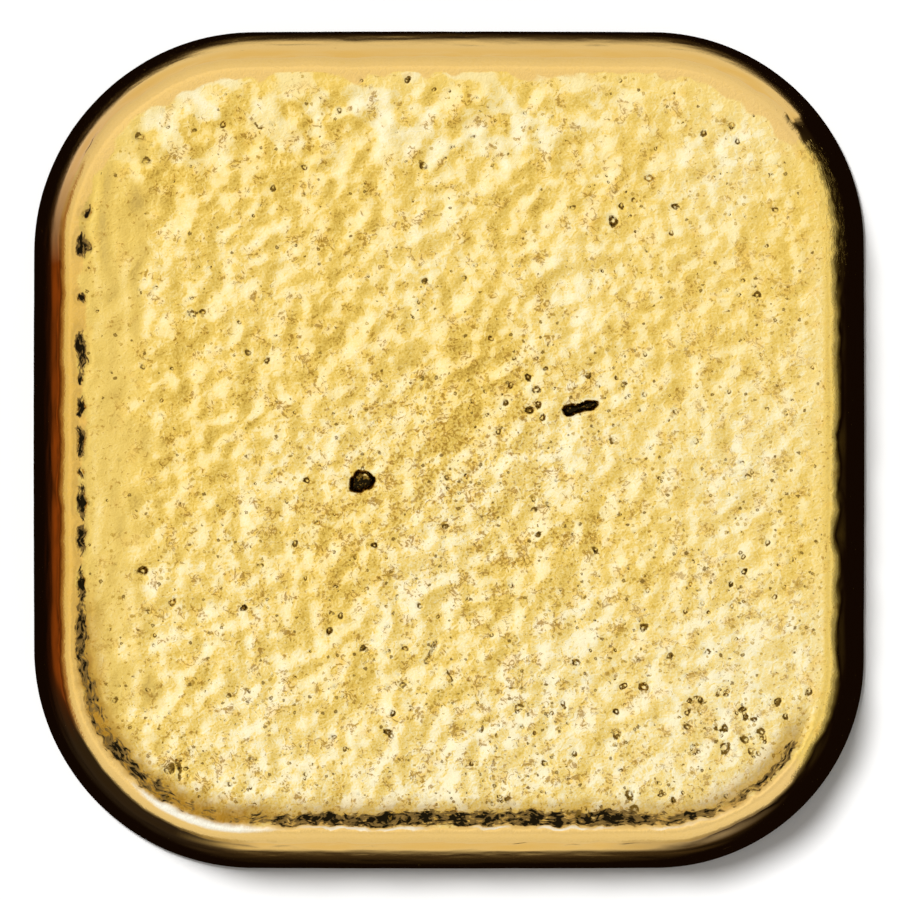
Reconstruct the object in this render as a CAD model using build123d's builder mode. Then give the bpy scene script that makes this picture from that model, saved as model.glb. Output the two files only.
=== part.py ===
"""A small square bar of gold, poured into an open mould and turned out mould face up.

The bar is one casting. Its plan is a square with large corners and sides that bow out slightly.
The walls lean in towards the face, as the mould's draft leaves them, and roll over into it along
a rounded rim. The face that lay on the mould's floor is on top. A shallow groove parts it from
the rim along the front and the left, and gas has left cavities open in it.

Millimetres and degrees. The origin is at the middle of the foot, +Z up, +X right and +Y back.
"""

import os
from math import cos, radians, sin, sqrt, tan

from build123d import *

# The bar
bar_width = 20.0
bar_depth = 20.15
bar_height = 4.53
side_bow = 0.06
draft_angle = 10.0
back_left_corner = 5.3
back_right_corner = 5.1
front_left_corner = 5.25
front_right_corner = 5.0
rim_radius = 0.38
foot_radius = 0.35

# The groove between the rim and the face, deepest at the front left and gone at the back right
groove_margin = 0.03
groove_radius = 0.2
groove_depth = 0.13
groove_deepest_bearing = 245.0
groove_fade_past_middle = 1.0

# The large gas cavity near the middle of the face, wider inside than at its mouth
blowhole_radius = 0.31
blowhole_sink = 0.12
blowhole_shares = (-0.21, -0.075)

# The slit right of the middle, where two cavities ran together
slit_length = 0.86
slit_width = 0.27
slit_depth = 0.3
slit_taper = 12.0
slit_bearing = 14.0
slit_shares = (0.316, 0.1)

# Smaller gas pits: each place as shares of half the bar's width and depth, then of the radius
pit_radius = 0.13
pit_shares = (
    (0.39, 0.54, 1.0),
    (0.474, 0.64, 0.9),
    (-0.727, -0.284, 1.0),
    (0.46, -0.557, 0.95),
    (0.2, 0.14, 0.85),
    (0.219, 0.076, 0.8),
    (-0.597, 0.32, 0.85),
    (0.655, -0.64, 0.9),
    (-0.66, -0.735, 0.95),
    (-0.24, -0.77, 0.8),
)

# The foot's rounding takes this much off the widest line of the sharp-edged casting
foot_setback = foot_radius * (tan(radians(draft_angle)) + 1 / cos(radians(draft_angle)) - 1)
half_width = bar_width / 2
half_depth = bar_depth / 2
corner_x = half_width + foot_setback - side_bow
corner_y = half_depth + foot_setback - side_bow

# The plan: four bowed sides between sharp corners, which are then rounded one by one
back_left, back_right = (-corner_x, corner_y), (corner_x, corner_y)
front_left, front_right = (-corner_x, -corner_y), (corner_x, -corner_y)
with BuildSketch() as plan:
    with BuildLine():
        ThreePointArc(back_left, (0, corner_y + side_bow), back_right)
        ThreePointArc(back_right, (corner_x + side_bow, 0), front_right)
        ThreePointArc(front_right, (0, -corner_y - side_bow), front_left)
        ThreePointArc(front_left, (-corner_x - side_bow, 0), back_left)
    make_face()
    for corner, radius in (
        (back_left, back_left_corner),
        (back_right, back_right_corner),
        (front_left, front_left_corner),
        (front_right, front_right_corner),
    ):
        fillet(plan.vertices().sort_by_distance(corner)[0], radius)

# The groove keeps its margin to the line where the rim runs out into the face
rim_inset = bar_height * tan(radians(draft_angle)) + rim_radius * tan(radians((90 - draft_angle) / 2))
groove_half_width = sqrt(groove_radius**2 - (groove_radius - groove_depth) ** 2)
groove_inset = rim_inset + groove_margin + groove_half_width

# The groove's course runs round the plan in a plane that tilts, so that the groove fades out
groove_reach = min(half_width, half_depth) + foot_setback - groove_inset
groove_slope = groove_depth / (groove_reach + groove_fade_past_middle)
bearing = radians(groove_deepest_bearing)
groove_plane = Plane(
    origin=(0, 0, bar_height + groove_radius - groove_slope * groove_fade_past_middle),
    x_dir=(1, 0, groove_slope * -cos(bearing)),
    z_dir=(groove_slope * cos(bearing), groove_slope * sin(bearing), 1),
)
with BuildSketch(groove_plane) as groove_course:
    add(plan.sketch_local)
    offset(amount=-groove_inset)

with BuildPart() as ingot:
    # The casting, with the mould's draft
    extrude(plan.sketch, amount=bar_height)
    walls = ingot.faces().filter_by(Axis.Z, reverse=True)
    draft(walls, Plane.XY, draft_angle)
    fillet(ingot.faces().sort_by(Axis.Z)[-1].edges(), rim_radius)
    fillet(ingot.faces().sort_by(Axis.Z)[0].edges(), foot_radius)

    # The groove
    groove_path = groove_course.sketch.wires()[0]
    with BuildSketch(Plane(origin=groove_path @ 0, z_dir=groove_path % 0)):
        Circle(groove_radius)
    sweep(path=groove_path, mode=Mode.SUBTRACT)

    # The blowhole
    blowhole_x, blowhole_y = blowhole_shares[0] * half_width, blowhole_shares[1] * half_depth
    with Locations((blowhole_x, blowhole_y, bar_height - blowhole_sink)):
        Sphere(blowhole_radius, mode=Mode.SUBTRACT)

    # The slit
    slit_x, slit_y = slit_shares[0] * half_width, slit_shares[1] * half_depth
    with BuildSketch(Plane.XY.offset(bar_height)):
        with Locations(Location((slit_x, slit_y), slit_bearing)):
            SlotOverall(slit_length, slit_width)
    extrude(amount=-slit_depth, taper=slit_taper, mode=Mode.SUBTRACT)

    # The smaller pits
    for x_share, y_share, radius_share in pit_shares:
        with Locations((x_share * half_width, y_share * half_depth, bar_height)):
            Sphere(radius_share * pit_radius, mode=Mode.SUBTRACT)

ingot.part.label = "ingot"
os.makedirs("parts", exist_ok=True)
export_step(ingot.part, "parts/ingot.step")
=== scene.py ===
"""A cast gold bar, seen from straight above on a white floor.

The bar's skin is one closed mesh over the frame's solid: the mould face with its hammered relief, gas
pits and pinholes, the rolled rim with the groove inside it, the drafted walls and the plain foot.
Shapes are worked out in millimetres and made in metres. +X is right and +Y is up in the picture.
"""

import math
from types import SimpleNamespace
from typing import NamedTuple

import bpy
import numpy as np
from mathutils.geometry import delaunay_2d_cdt
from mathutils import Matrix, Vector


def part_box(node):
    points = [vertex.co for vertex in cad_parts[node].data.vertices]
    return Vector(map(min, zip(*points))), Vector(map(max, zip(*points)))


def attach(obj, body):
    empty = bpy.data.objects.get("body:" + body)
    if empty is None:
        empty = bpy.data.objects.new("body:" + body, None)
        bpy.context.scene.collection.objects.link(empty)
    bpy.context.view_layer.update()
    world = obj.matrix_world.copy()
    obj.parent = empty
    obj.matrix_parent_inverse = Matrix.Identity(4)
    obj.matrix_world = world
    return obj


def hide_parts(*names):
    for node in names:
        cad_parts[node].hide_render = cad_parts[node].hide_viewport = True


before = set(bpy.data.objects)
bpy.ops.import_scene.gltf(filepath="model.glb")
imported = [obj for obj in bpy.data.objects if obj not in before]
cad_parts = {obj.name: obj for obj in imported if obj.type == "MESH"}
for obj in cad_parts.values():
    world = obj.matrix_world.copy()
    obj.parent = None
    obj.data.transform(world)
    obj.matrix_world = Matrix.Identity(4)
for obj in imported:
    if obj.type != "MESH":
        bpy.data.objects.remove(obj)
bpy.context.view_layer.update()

MM = 0.001
TAU = 2 * math.pi
SEED = 31
rng = np.random.default_rng(SEED)

# The photograph's frame: where the bar's middle is in it, and how many millimetres a pixel is
PHOTO_PIXELS = 900
BAR_MIDDLE_PIXEL = (449.0, 450.0)
BAR_WIDTH_PIXELS = 831.0

# The bar, from the frame's box
low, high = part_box("ingot")
bar_width = (high.x - low.x) / MM
bar_depth = (high.y - low.y) / MM
bar_height = (high.z - low.z) / MM
pixel = bar_width / BAR_WIDTH_PIXELS

# The casting's other sizes, as the solid has them
side_bow = 0.06
draft_degrees = 10
draft = math.radians(draft_degrees)
corner_radii = {"back_left": 5.3, "back_right": 5.1, "front_left": 5.25, "front_right": 5.0}
rim_radius = 0.38
foot_radius = 0.35
groove_inset = 1.27

# How far each line of the section lies inside the plan's sharp outline
foot_centre = foot_radius * (1 / math.cos(draft) + math.tan(draft))
foot_setback = foot_centre - foot_radius
face_edge = bar_height * math.tan(draft) + rim_radius * math.tan((math.pi / 2 - draft) / 2)

# The mesh: distances between points, what the outline is first drawn with, rows of points down the section,
# and how near two points count as one
FACE_STEP = 0.072
RIM_STEP = 0.1
WALL_STEP = 0.2
FOOT_STEP = 0.6
OUTLINE_STEP = 0.02
CORNER_POINTS = 400
RIM_ROWS = 9
WALL_ROWS = 19
FOOT_ROWS = 8
SAME_POINT = 1e-9


def smooth(low_end, high_end, value):
    """0 at low_end, 1 at high_end, with a smooth step between them."""
    share = np.clip((value - low_end) / (high_end - low_end), 0, 1)
    return share * share * (3 - 2 * share)


def place(pixel_x, pixel_y):
    """Millimetres on the bar for a pixel of the photograph."""
    return np.array(((pixel_x - BAR_MIDDLE_PIXEL[0]) * pixel, (BAR_MIDDLE_PIXEL[1] - pixel_y) * pixel))


def bearings(points):
    """Degrees round the bar's middle, from +X towards +Y."""
    return np.degrees(np.arctan2(points[:, 1], points[:, 0])) % 360


# The outline

def bowed(points):
    """Bows the sides of a straight-sided outline outwards."""
    half_x, half_y = bar_width / 2, bar_depth / 2
    x, y = points[:, 0], points[:, 1]
    bow_x = 1 + side_bow / half_x * (1 - (y / half_y) ** 2)
    bow_y = 1 + side_bow / half_y * (1 - (x / half_x) ** 2)
    return np.stack((x * bow_x, y * bow_y), axis=1)


def spaced(course, step):
    """Points about a step apart along a closed course."""
    closed = np.concatenate((course, course[:1]))
    along = np.concatenate(([0], np.cumsum(np.linalg.norm(np.diff(closed, axis=0), axis=1))))
    count = int(round(along[-1] / step))
    wanted = np.arange(count) / count * along[-1]
    return np.stack([np.interp(wanted, along, closed[:, axis]) for axis in (0, 1)], axis=1)


def outline(step):
    """Points along the plan's sharp outline, about a step apart, and their outward normals."""
    half_x = bar_width / 2 + foot_setback - side_bow
    half_y = bar_depth / 2 + foot_setback - side_bow
    corners = (
        (1, 1, corner_radii["back_right"], 0.0),
        (-1, 1, corner_radii["back_left"], 0.25),
        (-1, -1, corner_radii["front_left"], 0.5),
        (1, -1, corner_radii["front_right"], 0.75),
    )
    dense = []
    for side_x, side_y, radius, turn in corners:
        angles = TAU * (turn + np.linspace(0, 0.25, CORNER_POINTS))
        middle = np.array((side_x * (half_x - radius), side_y * (half_y - radius)))
        dense.append(middle + radius * np.stack((np.cos(angles), np.sin(angles)), axis=1))
    dense = bowed(spaced(np.concatenate(dense), OUTLINE_STEP))
    points = spaced(dense, step)
    tangents = np.roll(points, -1, axis=0) - np.roll(points, 1, axis=0)
    normals = np.stack((tangents[:, 1], -tangents[:, 0]), axis=1)
    return points, normals / np.linalg.norm(normals, axis=1, keepdims=True)


def inside(points):
    """How far points on the face lie inside the edge where it rolls over into the rim."""
    half_x = bar_width / 2 + foot_setback - face_edge
    half_y = bar_depth / 2 + foot_setback - face_edge
    x, y = points[:, 0], points[:, 1]
    right, back = x > 0, y > 0
    radius = np.where(
        back,
        np.where(right, corner_radii["back_right"], corner_radii["back_left"]),
        np.where(right, corner_radii["front_right"], corner_radii["front_left"]),
    ) - face_edge
    bow_x = side_bow * ((y / half_y) ** 2)
    bow_y = side_bow * ((x / half_x) ** 2)
    across = np.abs(x) + bow_x - half_x + radius
    along = np.abs(y) + bow_y - half_y + radius
    outer = np.hypot(np.maximum(across, 0), np.maximum(along, 0))
    return radius - outer - np.minimum(np.maximum(across, along), 0)


def oval(points, middle, reach):
    """How far points lie from a middle, where 1 is on an oval with these half sizes."""
    return np.hypot((points[:, 0] - middle[0]) / reach[0], (points[:, 1] - middle[1]) / reach[1])


def stretch(bearing, start, end):
    """1 on a stretch of the way round the bar, with a smooth start and end in degrees."""
    return smooth(*start, bearing) * smooth(*end, bearing)


# The hammered relief of the face

class Waves(NamedTuple):
    """A set of waves that make smooth noise.

    Bearing and spread are in degrees. A wave's height goes with its length to the power."""

    height: float
    count: int
    bearing: float
    spread: float
    shortest: float
    longest: float
    seed: int
    power: float = 0.0


CRESTS = Waves(1, 50, 150, 55, 0.65, 2.1, 1, 0.6)
LUMPS = Waves(0.0115, 90, 150, 60, 0.3, 2.2, 2, 0.9)
CALM_EDGE = Waves(0.25, 12, 90, 40, 0.7, 3.0, 23)
BROAD = Waves(1, 14, 0, 90, 3, 8, 3)
MOTTLE = Waves(1, 120, 0, 90, 0.15, 0.9, 31)
LEFT_EDGE = Waves(0.3, 16, 90, 30, 0.8, 3.0, 32)
LEFT_STREAKS = Waves(1, 40, 0, 12, 0.3, 1.2, 33)
PUDDLES = Waves(1, 40, 90, 60, 0.7, 2.4, 34)
SHORT_WANDER = Waves(0.022, 30, 0, 90, 0.25, 0.8, 4)
LONG_WANDER = Waves(0.02, 20, 0, 90, 0.6, 1.8, 5)
UNEVEN_FILL = Waves(0.12, 16, 0, 60, 0.5, 2.0, 6)
ROUND_RIPPLE = Waves(0.002, 40, 0, 50, 0.8, 2.5, 11)
LEVEL_RIPPLE = Waves(0.002, 40, 90, 16, 0.3, 1.2, 12)
RIM_LUMPS = Waves(0.014, 30, 0, 40, 0.7, 2.5, 13, 1.0)
RIM_BUMPS = Waves(0.006, 30, 0, 60, 0.25, 0.7, 14, 1.0)
SKIN_EDGE = Waves(0.09, 24, 0, 90, 0.5, 2.5, 15)


def noise(points, waves):
    """Smooth noise of about the height that a set of waves says."""
    draw = np.random.default_rng(waves.seed)
    summed = np.zeros(len(points))
    energy = 0.0
    for _ in range(waves.count):
        angle = math.radians(waves.bearing) + draw.normal(0, math.radians(waves.spread))
        length = waves.shortest * (waves.longest / waves.shortest) ** draw.uniform()
        phase = draw.uniform(0, TAU)
        weight = length ** waves.power
        energy += weight * weight / 2
        step = TAU / length * np.array((math.cos(angle), math.sin(angle)))
        summed += weight * np.cos(points @ step + phase)
    return waves.height * (summed / math.sqrt(energy))


# Where the relief dies down, in millimetres: towards the right, along the left and inside the face's edge
CALM_RIGHT = (1, 8)
CALM_LEFT = (-6.8, -7.7)
CALM_INSIDE = (0.1, 0.7)


def liveliness(points):
    """How strong the relief is: calmer at the right and along the left, and gone at the face's edge."""
    x = points[:, 0] + noise(points, CALM_EDGE)
    calm = 1 - 0.4 * smooth(*CALM_RIGHT, x) - 0.6 * smooth(*CALM_LEFT, x)
    return calm * smooth(*CALM_INSIDE, inside(points))


# The height of the relief's crests, how round they are, and how far all of it is raised
CREST_HEIGHT = 0.01
CREST_SOFTNESS = 0.5
HILL_RAISE = 0.01


def hills(points):
    """Height of the hammered relief: soft crests that run up to the right, and lumps of all sizes."""
    across = noise(points, CRESTS)
    crests = -np.sqrt(across * across + CREST_SOFTNESS ** 2)
    return CREST_HEIGHT * crests + noise(points, LUMPS)


# The light, from the left and a little from the back: its bearing, the slopes along it at which the face is
# darkest and brightest, in the mirrored sky and in the face's painted light, and the step over which a slope
# is measured
LIGHT_BEARING = math.radians(150)
SHADED_SLOPE = -0.17
LIT_SLOPE = 0.17
SLOPE_STEP = 0.02


def facing(points):
    """How far the relief leans towards the light, from 0 to 1, which the face's colour takes as painted light
    and shade.
    """
    reach = SLOPE_STEP * np.array((math.cos(LIGHT_BEARING), math.sin(LIGHT_BEARING)))
    fall = (hills(points - reach) - hills(points + reach)) / (2 * SLOPE_STEP)
    return smooth(SHADED_SLOPE, LIT_SLOPE, fall * liveliness(points))


# Pits picked in the photograph: pixel, radius in pixels, depth as a share of the radius
PITS = (
    ((611, 224), 5.4, 0.9), ((619, 209), 3.4, 0.8), ((632, 204), 3.6, 0.8), ((646, 182), 5.0, 0.9),
    ((672, 210), 3.6, 0.8), ((147, 569), 5.4, 0.9), ((196, 316), 4.6, 0.8), ((206, 314), 3.8, 0.8),
    ((641, 684), 5.6, 1.0), ((527, 378), 3.8, 0.9), ((510, 386), 3.4, 0.8), ((535, 391), 4.4, 0.9),
    ((505, 403), 3.2, 0.8), ((537, 405), 4.0, 0.9), ((528, 411), 4.6, 0.9), ((541, 418), 3.6, 0.8),
    ((721, 744), 6.0, 0.6), ((741, 736), 4.5, 0.7), ((757, 728), 4.2, 0.7), ((747, 747), 4.0, 0.8),
    ((750, 716), 3.0, 0.8), ((773, 698), 4.2, 0.8), ((804, 688), 4.2, 0.8), ((684, 709), 3.4, 0.8),
    ((684, 723), 4.0, 0.8), ((641, 625), 4.5, 0.9), ((614, 729), 5.8, 0.8), ((614, 708), 3.4, 0.8),
    ((627, 790), 5.0, 0.6), ((632, 804), 5.0, 0.7), ((770, 595), 3.2, 0.8), ((740, 570), 3.2, 0.8),
    ((727, 582), 3.0, 0.8), ((687, 582), 2.7, 0.9), ((699, 601), 2.8, 0.8), ((682, 609), 3.0, 0.8),
    ((728, 604), 2.8, 0.9), ((645, 588), 3.2, 0.8), ((144, 141), 5.4, 0.8), ((150, 165), 4.6, 0.7),
    ((226, 129), 3.6, 0.8), ((176, 600), 4.6, 0.9), ((173, 765), 6.0, 0.7), ((182, 757), 4.2, 0.8),
    ((575, 660), 4.4, 0.8), ((518, 704), 4.6, 0.8), ((331, 628), 4.0, 0.8), ((406, 646), 3.4, 0.8),
    ((297, 542), 3.6, 0.8), ((753, 297), 4.0, 0.8), ((700, 137), 3.8, 0.8), ((728, 130), 4.4, 0.8),
    ((424, 170), 4.4, 0.8),
)
pit_places = [place(*at) for at, _, _ in PITS]
pit_radii = [radius * pixel for _, radius, _ in PITS]
pit_depths = [share * radius * pixel for _, radius, share in PITS]

# Clusters of pits that run together: pixel, half width and half height in pixels, and how many pits
CLUSTERS = (
    ((717, 690), 12, 5, 8),
    ((737, 709), 10, 6, 7),
    ((690, 697), 10, 4, 5),
    ((621, 682), 5, 6, 5),
    ((690, 745), 9, 6, 6),
    ((660, 791), 9, 5, 6),
    ((757, 733), 4, 7, 4),
    ((506, 796), 14, 5, 7),
    ((583, 806), 14, 4, 6),
)

# The spread of a cluster's pits as a share of its sizes, their radii in pixels, and depths as shares of those
CLUSTER_SPREAD = 0.5
CLUSTER_RADII = (1.6, 3.2)
CLUSTER_DEPTHS = (0.6, 1.0)
for at, half_width, half_height, count in CLUSTERS:
    for _ in range(count):
        shift = rng.normal(0, CLUSTER_SPREAD, 2)
        radius = rng.uniform(*CLUSTER_RADII) * pixel
        pit_places.append(place(at[0] + half_width * shift[0], at[1] + half_height * shift[1]))
        pit_radii.append(radius)
        pit_depths.append(radius * rng.uniform(*CLUSTER_DEPTHS))

# Pinholes scattered by chance. Their radius in pixels is a least one and what chance adds to it, large ones
# being rarer, and their depths are shares of it.
PINHOLES = 460
PINHOLE_TRIES = 6 * PINHOLES
PINHOLE_MARGIN = 0.2
PINHOLE_RADIUS = 1.3
PINHOLE_GROWTH = 2.3
PINHOLE_RARITY = 2.2
PINHOLE_DEPTHS = (0.5, 0.9)
# They lie more thickly towards the front right, and in an oval patch round the middle
CROWD_FRONT = (-7, 8)
CROWD_PLACE = (0.8, 0.2)
CROWD_REACH = (4.0, 2.6)
CROWD_EDGE = (1.2, 0.2)


def crowding(points):
    """How thickly the pinholes lie, from 0 to 1."""
    middle = smooth(*CROWD_EDGE, oval(points, CROWD_PLACE, CROWD_REACH))
    front = smooth(*CROWD_FRONT, 0.45 * points[:, 0] - points[:, 1])
    return np.minimum(0.28 + 0.72 * front + 0.35 * middle, 1)


tries = rng.uniform(-1, 1, (PINHOLE_TRIES, 2)) * np.array((bar_width, bar_depth)) / 2
kept = (inside(tries) > PINHOLE_MARGIN) & (rng.uniform(0, 1, len(tries)) < crowding(tries))
for spot in tries[kept][:PINHOLES]:
    radius = pixel * (PINHOLE_RADIUS + PINHOLE_GROWTH * rng.uniform() ** PINHOLE_RARITY)
    pit_places.append(spot)
    pit_radii.append(radius)
    pit_depths.append(radius * rng.uniform(*PINHOLE_DEPTHS))

# How dark the pits' rings are, from stain and painted shade on their walls, the radius in pixels below which
# they are less so, and how bare their middles are
PIT_STAIN_AND_SHADE = (0.54, 0.94)
SMALL_PIT = 3.0
SMALL_PIT_STAIN_AND_SHADE = 0.82
PIT_EYES = (0.2, 0.85)
pit_places = np.array(pit_places)
pit_radii = np.array(pit_radii)
pit_depths = np.array(pit_depths)
pit_phases = rng.uniform(0, TAU, (len(pit_radii), 2))
pit_stain_and_shade_shares = rng.uniform(*PIT_STAIN_AND_SHADE, len(pit_radii))
pit_stain_and_shade_shares[pit_radii < SMALL_PIT * pixel] *= SMALL_PIT_STAIN_AND_SHADE
pit_eyes = rng.uniform(*PIT_EYES, len(pit_radii))

# A pit's bowl, its ring of stain and painted shade, the bare eye in it and its full reach, as shares of its
# radius
PIT_BOWL = (0.35, 1.05)
PIT_RING = (1.5, 0.7)
PIT_EYE = (0.6, 0.1)
PIT_REACH = 2.2

# The blowhole: its lobes have a number round it, a height and a phase, its bowl and its stain and painted
# shade are shares of its radius, and a bare spot on its wall is placed from its middle
BLOWHOLE_PIXEL = (363, 481)
BLOWHOLE_RADIUS = 0.29
BLOWHOLE_DEPTH = 0.34
BLOWHOLE_LOBES = ((2, 0.1, 0.6), (3, 0.09, 2.1), (7, 0.05, 0.0))
BLOWHOLE_BOWL = (0.72, 1.04)
BLOWHOLE_STAIN_AND_SHADE = (1.3, 0.7)
SHARD_PLACE = (0.12, 0.16)
SHARD_EDGE = (0.1, 0.03)

SLIT_PIXELS = ((567, 411), (593, 405))
SLIT_RADIUS = 0.13
SLIT_DEPTH = 0.26

# Nicks and slivers: the pixels of both ends, half the width in pixels, and how dark their stain and painted
# shade are
NICKS = (
    ((426, 659), (436, 637), 3.4, 0.5),
    ((447, 665), (454, 684), 1.2, 0.8),
    ((407, 320), (419, 311), 0.9, 0.7),
    ((183, 762), (184, 776), 2.2, 0.75),
    ((258, 128), (264, 134), 1.6, 0.8),
    ((711, 724), (722, 727), 1.6, 0.85),
)
NICK_DEPTH_SHARE = 0.8
# The bowl, and the stain and painted shade, of the slit and the nicks, as shares of half their width
STROKE_BOWL = (0.6, 1.06)
STROKE_STAIN_AND_SHADE = (1.32, 0.65)


def lobed(angle, lobes):
    """How far a ragged outline reaches: 1, and lobes given as how many, how high and at what phase."""
    reach = np.ones(len(angle))
    for count, height, phase in lobes:
        reach += height * np.sin(count * angle + phase)
    return reach


def pit_shape(points):
    """Depth, and rings of stain and painted shade, that the round pits give each point of the face."""
    depth = np.zeros(len(points))
    stain = np.zeros(len(points))
    for middle, radius, deep, phase, most, eye in zip(
        pit_places, pit_radii, pit_depths, pit_phases, pit_stain_and_shade_shares, pit_eyes,
    ):
        near = np.flatnonzero(np.abs(points - middle).max(axis=1) < PIT_REACH * radius)
        if not len(near):
            continue
        offset = points[near] - middle
        angle = np.arctan2(offset[:, 1], offset[:, 0])
        ragged = lobed(angle, ((2, 0.14, phase[0]), (3, 0.1, phase[1])))
        reach = np.hypot(offset[:, 0], offset[:, 1]) / (radius * ragged)
        depth[near] = np.maximum(depth[near], deep * (1 - smooth(*PIT_BOWL, reach)))
        crescent = 0.8 + 0.2 * np.cos(angle - phase[0])
        ring = most * crescent * smooth(*PIT_RING, reach) * (1 - eye * smooth(*PIT_EYE, reach))
        stain[near] = np.maximum(stain[near], ring)
    return depth, stain


def blowhole_shape(points):
    """Depth of the blowhole, and its stain and painted shade, which are less high on its wall."""
    offset = points - place(*BLOWHOLE_PIXEL)
    angle = np.arctan2(offset[:, 1], offset[:, 0])
    reach = np.hypot(offset[:, 0], offset[:, 1]) / (BLOWHOLE_RADIUS * lobed(angle, BLOWHOLE_LOBES))
    depth = BLOWHOLE_DEPTH * (1 - smooth(*BLOWHOLE_BOWL, reach))
    upper = smooth(0.0, 0.8, offset[:, 1] / BLOWHOLE_RADIUS) * smooth(1.0, 0.75, reach)
    shard = smooth(*SHARD_EDGE, np.linalg.norm(offset - np.array(SHARD_PLACE), axis=1))
    return depth, smooth(*BLOWHOLE_STAIN_AND_SHADE, reach) * (1 - np.maximum(0.3 * upper, 0.8 * shard))


def hole_shape(points):
    """Depth, and stain and painted shade, of the blowhole and of the slit and nicks, which swell and taper on
    their course.
    """
    depth, stain = blowhole_shape(points)
    strokes = [(*SLIT_PIXELS, SLIT_RADIUS, SLIT_DEPTH, 1.0)]
    for first, last, half, most in NICKS:
        strokes.append((first, last, half * pixel, NICK_DEPTH_SHARE * half * pixel, most))
    for first, last, half, deep, most in strokes:
        start = place(*first)
        course = place(*last) - start
        share = np.clip((points - start) @ course / (course @ course), 0, 1)
        gap = points - start - share[:, None] * course
        width = half * (1 + 0.14 * np.sin(9 * share + 1)) * (1.04 - 0.2 * share)
        reach = np.hypot(gap[:, 0], gap[:, 1]) / width
        depth = np.maximum(depth, deep * (1 - smooth(*STROKE_BOWL, reach)))
        stain = np.maximum(stain, most * smooth(*STROKE_STAIN_AND_SHADE, reach))
    return depth, stain


# The groove's line lies this far inside the face's edge. The bed's banks and the brown band of rust and
# painted shade round the bed are measured from it.
groove_line = groove_inset + foot_setback - face_edge
GROOVE_OUTER = (-0.19, -0.08)
GROOVE_INNER = (0.4, 0.16)
GROOVE_DEPTH = 0.12
RUST_SHADE_OUTER = (-0.2, -0.05)
RUST_SHADE_INNER = (0.75, 0.0)

# Stretches of the groove in degrees round the bar, and spans over which the bed narrows
FRONT_RUN = ((199, 206), (326, 318))
THIN_SPOT = ((231, 235), (247, 243))
LEFT_CORNER = ((206, 213), (247, 238))
FRONT_LEFT = (232, 246)
RIGHT_END = (288, 310)
LEFT_END = (218, 206)

# The groove's left run breaks up into laps: the pixel rows of their middles, half their lengths and half
# their widths in pixels. A lap keeps a share of that width, and fades out between two of its sizes.
LAP_SHARE = 0.75
LAP_EDGE = (1.9, 0.3)
LAPS = (
    (216, 5, 3),
    (248, 11, 7),
    (300, 5, 3),
    (353, 18, 7),
    (380, 5, 3),
    (407, 11, 4),
    (443, 15, 6),
    (472, 6, 3),
    (501, 16, 5),
    (537, 14, 5),
    (583, 17, 4.5),
    (622, 13, 5),
)


def groove_offset(points, depth_inside):
    """How far points lie inside the groove's line, which wanders a little."""
    return depth_inside - groove_line + (noise(points, SHORT_WANDER) + noise(points, LONG_WANDER))


def lap_shape(points, across):
    """How deep points lie in the laps of the groove's left run, from 0 to 1."""
    row = BAR_MIDDLE_PIXEL[1] - points[:, 1] / pixel
    left = points[:, 0] < 0
    laps = np.zeros(len(points))
    for middle, half_length, half_width in LAPS:
        reach = np.hypot((row - middle) / half_length, across / (LAP_SHARE * half_width * pixel))
        laps = np.maximum(laps, left * smooth(*LAP_EDGE, reach))
    return laps


def groove_shape(points, depth_inside):
    """Depth of the groove and its laps, how dirty their beds are, and the brown band of rust and painted
    shade round the bed.
    """
    bearing = bearings(points)
    across = groove_offset(points, depth_inside)
    right_end = smooth(*RIGHT_END, bearing)
    narrow = 0.1 * smooth(0.0, -2.0, points[:, 0]) * smooth(*FRONT_LEFT, bearing) + 0.15 * right_end
    narrow += 0.14 * smooth(*LEFT_END, bearing)
    bed = smooth(*GROOVE_OUTER, across) * smooth(*GROOVE_INNER, across + narrow)
    front = stretch(bearing, *FRONT_RUN)
    corner = stretch(bearing, *LEFT_CORNER)
    fill = front * (1 - 0.25 * stretch(bearing, *THIN_SPOT) - 0.22 * corner - 0.3 * right_end)
    fill *= 1 + noise(points, UNEVEN_FILL)
    laps = lap_shape(points, across)
    filled = np.maximum(bed * np.clip(fill, 0, 1), laps)
    glaze = front * (1 + 0.35 * corner) * smooth(*RUST_SHADE_OUTER, across) * smooth(*RUST_SHADE_INNER, across)
    return GROOVE_DEPTH * filled, np.maximum(bed * fill, 1.3 * laps), glaze


# Strips along the face's sides: the axis across them, where they begin and are full, and how much paler
STRIPS = (
    (0, (7.2, 8.3), -0.05),
    (0, (-4.0, -7.0), 0.03),
    (1, (-2.5, -6.5), 0.05),
    (1, (6.8, 8.0), 0.03),
)
# The darker strip along the left
LEFT_STRIP = (-6.7, -7.8)
# Pale puddles along the back: where they begin, which slants forward left of a place, where they stop at the
# right, and how sharp they are
PUDDLE_START = (5.9, 7.6)
PUDDLE_SLANT = 0.25
PUDDLE_SLANT_PLACE = -5
PUDDLE_STOP = (5.5, 1.0)
PUDDLE_EDGE = (-0.3, 0.3)
# The sandy patch round the middle
SANDY_PLACE = (-0.6, -0.4)
SANDY_REACH = (4.2, 3.0)
SANDY_EDGE = (1.35, 0.35)


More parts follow.
